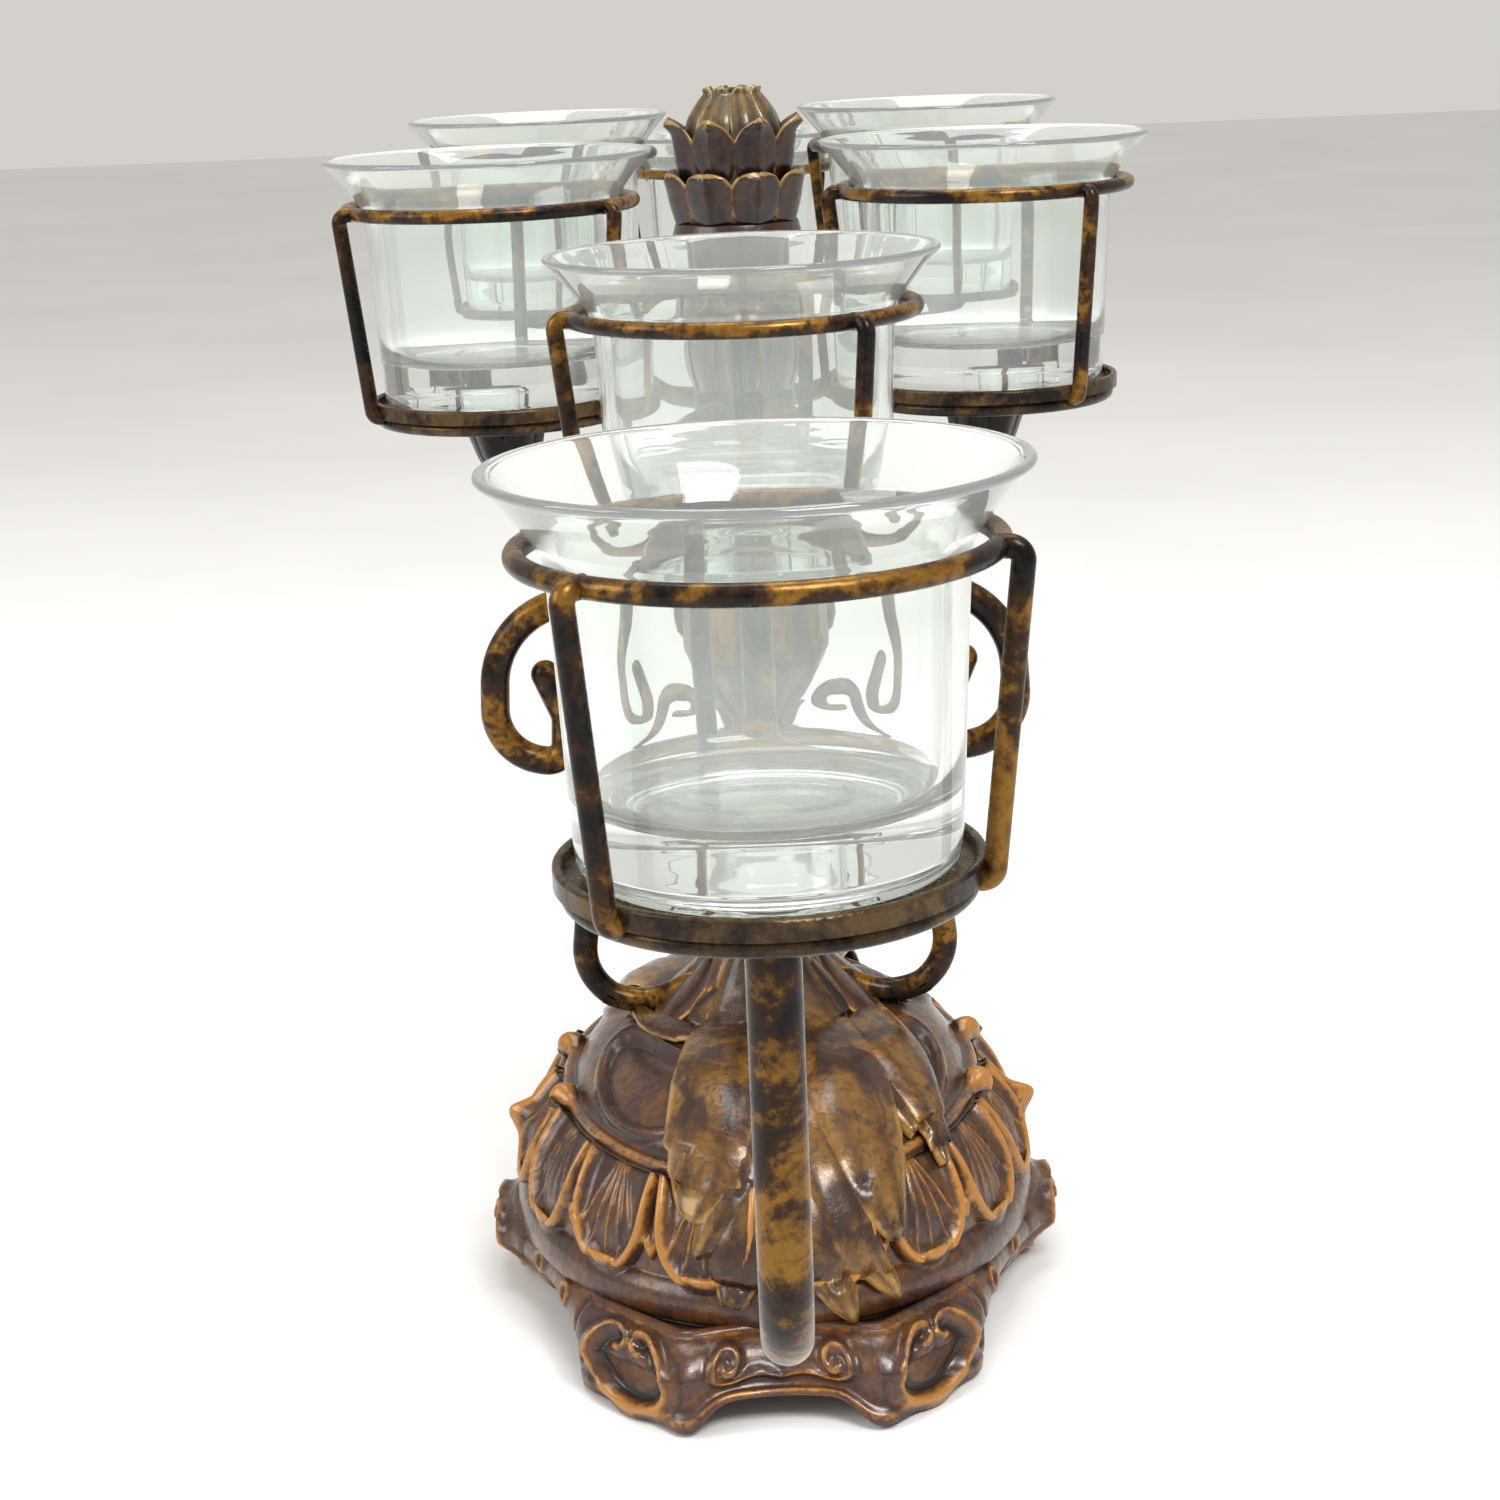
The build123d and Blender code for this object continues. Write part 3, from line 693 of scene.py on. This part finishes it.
# ---- leaves: a lens-shaped section carried along a curve --------------------
SECTION = np.linspace(0, TAU, 22, endpoint=False)
ACROSS, THROUGH = np.cos(SECTION), np.sin(SECTION)
LOBE_THICK = 3.0


def leaf_paint(t):
    """Gold on a leaf's edges, tip and midrib; painted shade beside the rib and at its root."""
    edge = smooth(0.72, 0.95, abs(ACROSS))[None, :] * np.ones((len(t), 1))
    rib = bell(ACROSS, 0.14)[None, :] * (THROUGH > 0)
    tip = smooth(0.8, 1.0, t)[:, None]
    gild = np.clip(0.8 * edge + 0.7 * rib + 0.6 * tip, 0, 1)
    # Painted shade in the hollows beside the rib and at the root, less on the edges.
    hollow = bell(abs(ACROSS) - 0.42, 0.2)[None, :] * 0.55
    root = smooth(0.35, 0.0, t)[:, None] * 0.7
    return gild, np.clip(hollow + root, 0, 1) * (1 - 0.7 * edge)


def standing_leaf(curve, widths, azimuth, thick, rib=0.7, cup=0.0):
    """A leaf round an upright axis: curve holds (radius, height) from its root to its tip.
    The ribbed face looks outward on a climbing leaf and upward on a falling one."""
    path = curve_through(curve, 6)
    t = np.linspace(0, 1, len(path))
    half = np.interp(t, np.linspace(0, 1, len(widths)), widths) / 2
    along = np.gradient(path, axis=0)
    along /= np.linalg.norm(along, axis=1, keepdims=True)
    climbs = 1 if path[-1, 1] > path[0, 1] else -1
    out = np.stack([along[:, 1], -along[:, 0]], -1) * climbs
    depth = THROUGH * thick / 2 + rib * bell(ACROSS, 0.18) * (THROUGH > 0) - cup * ACROSS**2
    radius = path[:, :1] + out[:, :1] * depth
    height = path[:, 1:] + out[:, 1:] * depth
    angle = azimuth - climbs * half[:, None] * ACROSS / np.maximum(path[:, :1], 5.0)
    points = np.stack([radius * np.cos(angle), radius * np.sin(angle), height], -1)
    # leaf_paint gives the rubbed gold and the painted shade.
    gild, dirt = leaf_paint(t)
    return closed_grid(points, {"gild": gild, "dirt": dirt})


def add_tier(parts, count, phase, curve, widths, **shape):
    """A ring of equal leaves about the upright axis, the first one at the angle phase."""
    for k in range(count):
        parts.add(*standing_leaf(curve, widths, phase + TAU * k / count, **shape))


# ---- acanthus leaves that lie on the dome, front and rear -------------------
def dome_profile():
    """Half widths and height of the dome and its side, by the distance down from the top.
    Negative distances go up the column's foot, where the leaves begin."""
    upper = SURFACE[LEVELS >= 7.0][::-1]
    wide, deep, z = abs(upper[..., 0]).max(1), abs(upper[..., 1]).max(1), upper[..., 2].mean(1)
    down = np.concatenate([[0], np.cumsum(np.hypot(np.diff(deep), np.diff(z)))])
    stem = np.array([13.5, 15.5, 20.0, 26.0])
    above = [-42, -30, -16, -5], stem, stem, DOME_TOP + np.array([36, 24, 11, 2.5])
    return tuple(np.concatenate(pair) for pair in zip(above, (down, wide, deep, z)))


DOWN, WIDE, DEEP, DROP = dome_profile()


def on_dome(x, down):
    """The point of the front of the dome at x across and so far down from its top."""
    wide, deep, z = (np.interp(down, DOWN, row) for row in (WIDE, DEEP, DROP))
    return np.stack([x, -deep * np.sqrt(np.clip(1 - (x / wide) ** 2, 0, 1)), z], -1)


def lying_leaf(points, widths, lift):
    """A lobe of the acanthus along points of (x, distance down the dome)."""
    path = curve_through(points, 6)
    t = np.linspace(0, 1, len(path))
    half = np.interp(t, np.linspace(0, 1, len(widths)), widths)
    along = np.gradient(path, axis=0)
    along /= np.linalg.norm(along, axis=1, keepdims=True)
    x = path[:, :1] + along[:, 1:] * half[:, None] * ACROSS
    down = path[:, 1:] - along[:, :1] * half[:, None] * ACROSS
    place = on_dome(x, down)
    step = 0.5
    uphill = on_dome(x, down - step) - on_dome(x, down + step)
    leftward = on_dome(x - step, down) - on_dome(x + step, down)
    outward = np.cross(uphill, leftward)
    outward /= np.maximum(np.linalg.norm(outward, axis=-1, keepdims=True), 1e-9)
    rise = lift * np.sin(np.clip(t * 1.15, 0, 1) * math.pi / 2)[:, None]
    groove = -0.9 * bell(ACROSS, 0.16) * (THROUGH > 0)
    depth = rise + THROUGH * LOBE_THICK / 2 + groove + 1.2 * (1 - ACROSS**2)
    gild, dirt = leaf_paint(t)
    # Painted shade along the lobe's middle, where its groove runs.
    dirt = np.clip(dirt + 0.8 * bell(ACROSS, 0.12)[None, :], 0, 1)
    return closed_grid(place + outward * depth[..., None], {"gild": gild, "dirt": dirt})


# Each lobe: its middle line as (x, distance down the dome), its half widths and its lift.
ACANTHUS = [
    ([(2, -34), (9, -14), (15, 6), (19, 32), (24, 55), (29, 73)], [4, 7, 9.5, 11.5, 9, 2], 3.2),
    ([(5, -10), (8, 20), (10, 45), (19, 72), (29, 88)], [4, 6, 7.5, 6.5, 1.2], 2.4),
    ([(4, 30), (6, 58), (12, 78), (18, 91)], [4, 7, 7, 1.5], 2.0),
    ([(9, -22), (20, -2), (29, 17), (36, 34), (41, 51), (43, 62)], [4, 5.5, 6, 5.5, 3.5, 1], 2.8),
    ([(14, 0), (23, 20), (31, 36), (37, 52)], [4, 4.5, 4, 1], 1.0),
    ([(-2, -34), (-8, -12), (-12, 8), (-14.5, 30), (-17, 50), (-21, 66)], [4, 7, 10, 11.5, 11, 3], 3.2),
    ([(-3, 0), (-6, 32), (-11, 55), (-20, 74)], [4, 7, 7, 1.5], 2.2),
    ([(-2, 40), (-6, 62), (-10, 76), (-12, 87)], [4, 8, 8, 3], 2.0),
    ([(-7, -20), (-19, -4), (-30, 7), (-40, 17)], [3, 5.5, 6, 1], 1.0),
    ([(0, -30), (0, 0), (0, 45), (1, 84)], [5, 9, 9, 2], 1.6),
]


def make_acanthus():
    """The same spray of lobes on the front and, turned half round, on the rear."""
    for name, turn in (("front_acanthus", 1), ("rear_acanthus", -1)):
        parts = Parts()
        for points, widths, lift in ACANTHUS:
            verts, faces, values = lying_leaf(points, widths, lift)
            parts.add(verts * (turn, turn, 1), faces, values)
        parts.piece(name, LEAF_GOLD, RACK, "antiqued_casting")


# ---- column ------------------------------------------------------------------
def turned_shell(outline, lobes, depth, cols=144):
    """A ribbed solid of revolution: depth is how far a rib stands out, for each outline point."""
    path = curve_through(outline, 5)
    t = np.linspace(0, 1, len(path))
    ribs = np.interp(t, np.linspace(0, 1, len(depth)), depth)[:, None]
    a = np.linspace(0, TAU, cols, endpoint=False)
    wave = np.abs(np.cos(lobes / 2 * a)) ** 0.7
    radius = path[:, :1] + ribs * (wave - 1)
    points = np.stack([radius * np.cos(a), radius * np.sin(a), path[:, 1:] + 0 * a], -1)
    shade = np.clip(ribs / 1.5, 0, 1)
    # Gold on the rib crests; painted shade in the flutes between them.
    values = {"gild": shade * smooth(0.8, 1.0, wave) * 0.6, "dirt": shade * smooth(0.55, 0.1, wave) * 0.9}
    return closed_grid(points, values)


def make_column_foot():
    z0, z1 = heights_of("column_foot")
    parts = Parts()
    outline = [(24, z0 - 0.4), (25, z0 + 3), (20, z0 + 10), (14.5, z0 + 20), (12, z0 + 33), (14.6, z0 + 37)]
    parts.add(*turned_shell(outline + [(13.5, z1 - 1.5), (12.4, z1)], 12, [0, 0.8, 1.4, 1.4, 0.8, 0, 0, 0]))
    spread = [(14, z0 + 20), (20, z0 + 12), (27, z0 + 5.5), (32, z0 + 1.5), (35.5, z0 + 1.8)]
    add_tier(parts, 8, math.radians(22.5), spread, [7, 12, 16, 13, 3], thick=2.2, rib=0.5)
    inner = [(12.6, z0 + 32), (14.6, z0 + 22), (18.6, z0 + 14), (22.6, z0 + 10)]
    add_tier(parts, 8, 0, inner, [6, 9, 10, 2], thick=1.8, rib=0.5)
    parts.piece("column_foot_leaves", RESIN, RACK, "antiqued_casting", ["column_foot"])


def make_vase():
    z0, z1 = heights_of("column_vase")
    parts = Parts()
    outline = [(12, z0), (12.2, z0 + 12), (13.4, z0 + 28), (16.4, z0 + 40), (21.5, z0 + 51), (27, z0 + 60)]
    parts.add(*turned_shell(outline + [(28, z1 - 1.5), (27, z1)], 12, [0, 0.6, 1.8, 2.6, 3.0, 1.6, 0, 0]))
    climb = [(12.4, z0 + 3), (13.8, z0 + 16), (15.4, z0 + 30), (18, z0 + 40), (20.5, z0 + 44)]
    add_tier(parts, 6, math.radians(30), climb, [6, 9, 11, 8, 1.5], thick=1.8)
    parts.piece("column_vase_ribbed", BUD, RACK, "antiqued_casting", ["column_vase"])


def make_neck():
    z0, z1 = heights_of("column_neck")
    parts = Parts()
    outline = [(25, z0), (25.8, z0 + 2), (22, z0 + 6), (16.5, z0 + 12), (12.8, z0 + 22), (13.4, z0 + 30)]
    parts.add(*turned_shell(outline + [(15.6, z1 - 2), (15.6, z1)], 12, [0, 0, 1.2, 1.4, 1.0, 0, 0, 0]))
    parts.piece("column_neck_fluted", BUD, RACK, "antiqued_casting", ["column_neck"])


def make_urn():
    z0, z1 = heights_of("column_urn")
    parts = Parts()
    outline = [(17, z0), (19, z0 + 4), (21.4, z0 + 11), (21.2, z0 + 17), (17.4, z0 + 21), (15, z0 + 27)]
    outline += [(14.6, z0 + 34), (17.2, z1 - 6), (17, z1 - 3), (16.2, z1)]
    parts.add(*turned_shell(outline, 10, [0, 2.0, 3.0, 2.0, 0.8, 1.0, 1.0, 0, 0, 0]))
    lapped = [(17.5, z0 + 1), (20.5, z0 + 8), (22, z0 + 14), (24, z0 + 18), (25.4, z0 + 17)]
    add_tier(parts, 8, 0, lapped, [8, 12, 13, 9, 1.5], thick=1.8)
    parts.piece("column_urn_lobed", BUD, RACK, "antiqued_casting", ["column_urn"])


def make_finial():
    """A closed bud over a flared tier of pointed petals and a lower tier of round ones."""
    z0, z1 = heights_of("finial")
    parts = Parts()
    core = [(15.2, z0), (14.6, z0 + 8), (13.6, z0 + 16), (11.5, z0 + 22), (9.8, z0 + 27)]
    core += [(6.6, z1 - 4), (4.6, z1 - 2)]
    parts.add(*turned_shell(core, 8, [0, 0.5, 0.8, 0.8, 1.4, 1.2, 0.6]))
    lower = [(15.3, z0 + 0.5), (16.6, z0 + 5), (17.4, z0 + 9), (18.3, z0 + 12), (18.9, z0 + 12.6)]
    add_tier(parts, 8, math.radians(19), lower, [11, 15, 15.5, 11, 2.0], thick=1.8, rib=0.9, cup=0.5)
    upper = [(13.6, z0 + 10), (14.8, z0 + 15), (15.4, z0 + 20), (16.4, z0 + 24), (18.9, z0 + 26.4)]
    add_tier(parts, 8, math.radians(-22), upper, [9, 13, 14, 9, 1.2], thick=1.8, rib=0.9, cup=0.4)
    parts.piece("finial_petals", BUD, RACK, "antiqued_casting", ["finial"])
    bud = Parts()
    folded = [(12.4, z0 + 21), (11.2, z0 + 26), (8.6, z0 + 30), (6.6, z1 - 2.5), (6.9, z1 - 0.5)]
    add_tier(bud, 8, math.radians(18.5), folded, [9, 9, 7, 5, 2.4], thick=1.6, rib=0.9)
    tips = [(9.5, z0 + 26), (7.2, z0 + 30.5), (4.6, z1 - 2), (4.4, z1 - 0.8)]
    add_tier(bud, 5, 0.3, tips, [6, 6, 4.4, 2.4], thick=2.0, rib=0.8)
    bud.piece("finial_bud", TIP_GREEN, RACK, "antiqued_casting")


def make_leaf_socket(corner):
    """Dark leaves that wrap the elbow of an inner arm under its pan."""
    node = "leaf_" + corner
    z0, z1 = heights_of(node)
    cup_low, cup_high = box_mm(corner + "_cup")
    x, y = (cup_low[:2] + cup_high[:2]) / 2
    parts = Parts()
    core = [(4.6, z0), (5.6, z0 + 4), (6.6, z0 + 9), (7.6, z1 - 2), (7.2, z1 - 0.1)]
    parts.add(*turned_shell(core, 6, [0, 0.8, 1.0, 0.6, 0], cols=72))
    wrap = [(4.4, z0 - 1.5), (6.4, z0 + 4), (7.6, z0 + 9), (9.2, z1 - 2.5), (10.4, z1 - 1.2)]
    add_tier(parts, 6, math.atan2(y, x), wrap, [4.5, 7.5, 8.5, 7, 1.5], thick=1.9, rib=0.6)
    verts = np.vstack(parts.verts)
    inward = np.array([-x, -y]) / math.hypot(x, y)
    lean = np.clip((z1 - verts[:, 2]) / (z1 - z0), 0, 1.2) ** 1.5 * 3.0
    verts[:, :2] += lean[:, None] * inward + (x, y)
    parts.verts = [verts]
    parts.piece(node + "_leaves", DARK, RACK, "bronzed_fitting", [node])


# ---- glass cups -------------------------------------------------------------
CUP_COLUMNS = 128


def turned_profile(points, count, centre):
    """Closed solid of revolution: points are (radius, height) from bottom axis to top axis."""
    profile = np.array(points, float)
    angles = np.linspace(0, TAU, count, endpoint=False)
    ringed = np.stack([
        profile[:, None, 0] * np.cos(angles),
        profile[:, None, 0] * np.sin(angles),
        np.broadcast_to(profile[:, 1:2], (len(profile), count)),
    ], -1)
    return ringed + np.asarray(centre)


def cup_profile():
    """Outline of the pressed glass cup from the middle of its foot round to the middle of its well."""
    foot = [(0.01, 1.8), (12, 1.8), (19, 1.7), (20.4, 0.6), (21.4, 0.05), (23.5, 0.0)]
    corner = [(25.3, 0.35), (26.6, 1.5), (27.1, 3.2)]
    body = [(27.5, 10), (28.1, 24), (28.7, 37), (29.3, 44.5)]
    flare = [(30.7, 47.4), (32.9, 50.4), (35.1, 53.0), (36.9, 54.9)]
    lip = [(37.95, 56.0), (37.6, 56.75), (36.7, 56.8), (35.6, 56.1)]
    inner = [(33.2, 53.8), (30.6, 50.9), (28.4, 47.9), (26.9, 44.8), (26.2, 41)]
    well = [(25.8, 32), (25.3, 22), (24.9, 15.5), (24.1, 12.4), (22.3, 10.7)]
    floor = [(19.5, 10.1), (10, 9.9), (0.01, 9.9)]
    return curve_through(foot + corner + body + flare + lip + inner + well + floor, 4)


def make_cup(name):
    low, high = box_mm(name + "_cup")
    centre = ((low[0] + high[0]) / 2, (low[1] + high[1]) / 2, low[2])
    shape = closed_grid(turned_profile(cup_profile(), CUP_COLUMNS, centre), {})
    mesh_piece(name + "_glass", *shape, GLASS, name + "_votive", "clear_glass", [name + "_cup"])


# ---- materials of the CAD pieces that stay as they are ----------------------
def dress(node, material):
    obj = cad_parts[node]
    obj.data.materials.clear()
    obj.data.materials.append(material)


def dress_frame():
    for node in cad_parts:
        if node.endswith("_pan"):
            dress(node, PAN)
        elif node.endswith(("_ring", "_posts")) or node.startswith(("arm_", "mid_stem", "scroll_")):
            dress(node, ROD)
        elif node in ("tie_rod", "base_nut", "pan_screws"):
            dress(node, STEEL)
        elif node == "felt_pads":
            dress(node, FELT)
        elif not node.endswith("_cup"):
            dress(node, DARK)


# ---- floor, light and camera ------------------------------------------------
def make_floor():
    n = Nodes("pale_floor")
    cloud = n.noise(n.place(), 3.0, 3.0)
    colour = n.ramp(cloud, [(0.3, (0.80, 0.795, 0.785)), (0.7, (0.86, 0.855, 0.85))])
    n.set(Base_Color=colour, Roughness=0.55)
    mesh = bpy.data.meshes.new("floor")
    half = 6.0
    corners = [(-half, -half, 0), (half, -half, 0), (half, half, 0), (-half, half, 0)]
    mesh.from_pydata(corners, [], [(0, 1, 2, 3)])
    mesh.materials.append(n.material)
    floor = link(bpy.data.objects.new("floor", mesh))


def area_light(name, place, target, size, power, colour=(1, 1, 1)):
    data = bpy.data.lights.new(name, "AREA")
    data.energy, data.size, data.color = power, size, colour
    lamp = link(bpy.data.objects.new(name, data))
    lamp.location = place
    lamp.rotation_euler = (Vector(target) - Vector(place)).to_track_quat("-Z", "Y").to_euler()


def make_light():
    world = bpy.data.worlds.new("soft_room")
    bpy.context.scene.world = world
    world.use_nodes = True
    background = world.node_tree.nodes["Background"]
    background.inputs["Color"].default_value = (0.80, 0.775, 0.735, 1)
    background.inputs["Strength"].default_value = 0.82
    area_light("key", (0.5, -1.1, 1.5), (0, -0.05, 0.15), 0.6, 26)
    area_light("fill", (-1.2, -0.6, 0.9), (0, 0, 0.15), 0.8, 11)
    area_light("top", (0.0, 0.3, 1.7), (0, 0, 0.1), 0.8, 15)


def make_camera():
    """Looks down the rack's long axis, 15 degrees below level, with a slight roll."""
    data = bpy.data.cameras.new("camera")
    data.lens, data.sensor_width = 68.4, 36.0
    camera = link(bpy.data.objects.new("camera", data))
    place = Vector((-0.0021, -0.763, 0.357))
    pitch, roll = math.radians(15.1), math.radians(2.3)
    ahead = Vector((0, math.cos(pitch), -math.sin(pitch)))
    up = Vector((0, math.sin(pitch), math.cos(pitch)))
    side = Vector((1, 0, 0))
    right = side * math.cos(roll) - up * math.sin(roll)
    upward = up * math.cos(roll) + side * math.sin(roll)
    turn = Matrix((right, upward, -ahead)).transposed().to_4x4()
    camera.matrix_world = Matrix.Translation(place) @ turn
    data.clip_start, data.clip_end = 0.01, 50
    bpy.context.scene.camera = camera


dress_frame()
make_base()
make_acanthus()
make_column_foot()
make_vase()
make_neck()
make_urn()
make_finial()
for corner in INNER:
    make_leaf_socket(corner)
for holder in HOLDERS:
    make_cup(holder)
make_floor()
make_light()
make_camera()
bpy.context.scene.view_settings.view_transform = "Standard"
